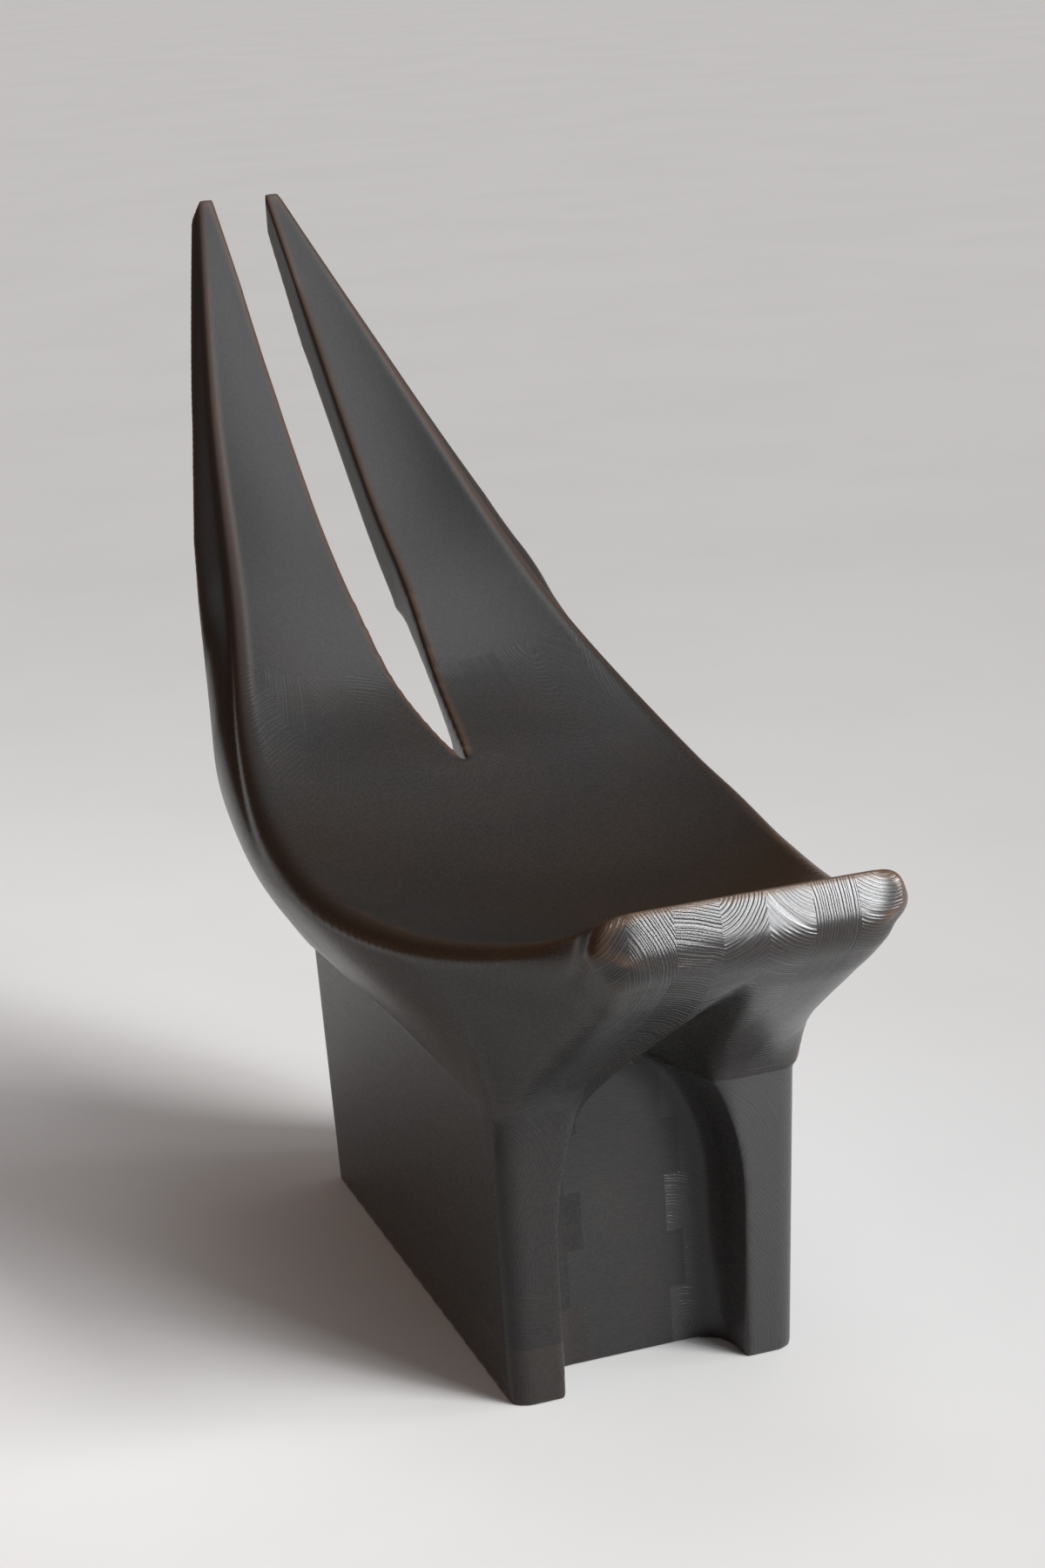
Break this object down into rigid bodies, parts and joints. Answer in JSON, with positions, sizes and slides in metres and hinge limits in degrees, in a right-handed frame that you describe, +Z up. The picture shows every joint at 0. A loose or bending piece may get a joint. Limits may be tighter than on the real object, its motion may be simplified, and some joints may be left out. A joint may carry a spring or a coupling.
{
  "type": "lounge chair",
  "caption": "Armless lounge chair carved from solid wood, with a dished seat, a raised front bar, a back of tapered horns either side of a slot, and a narrow base with an arched niche.",
  "frame": {"origin": "centre of the box round the whole chair, on the floor", "axes": "+Z up, +Y from the front bar towards the horn tips, +X to the sitter's left seen from the front as right"},
  "size_m": [0.474, 1.315, 1],
  "materials": {
    "seat_wood": "black-stained solid wood, satin, growth rings showing",
    "horn_wood": "black-stained solid wood, satin, faintly blue",
    "base_wood": "black-stained solid wood, satin, some layers browner",
    "tenon_wood": "plain unstained hardwood, hidden"
  },
  "bodies": {
    "root": {"seat_board_1": "seat_wood", "seat_board_2": "seat_wood", "seat_board_3": "seat_wood", "seat_board_4": "seat_wood", "seat_board_5": "seat_wood", "seat_board_6": "seat_wood", "seat_board_7": "seat_wood", "seat_board_8": "seat_wood", "seat_board_9": "seat_wood", "seat_board_10": "seat_wood", "seat_board_11": "seat_wood", "seat_board_12": "seat_wood", "horn_left": "horn_wood", "horn_right": "horn_wood", "base_layer_1_left": "base_wood", "base_layer_1_middle": "base_wood", "base_layer_1_right": "base_wood", "base_layer_2_left": "base_wood", "base_layer_2_middle": "base_wood", "base_layer_2_right": "base_wood", "base_layer_3_left": "base_wood", "base_layer_3_middle": "base_wood", "base_layer_3_right": "base_wood", "base_layer_4_left": "base_wood", "base_layer_4_middle": "base_wood", "base_layer_4_right": "base_wood", "base_layer_5_left": "base_wood", "base_layer_5_middle": "base_wood", "base_layer_5_right": "base_wood", "horn_tenons": "tenon_wood", "base_tenons": "tenon_wood"}
  },
  "joints": []
}
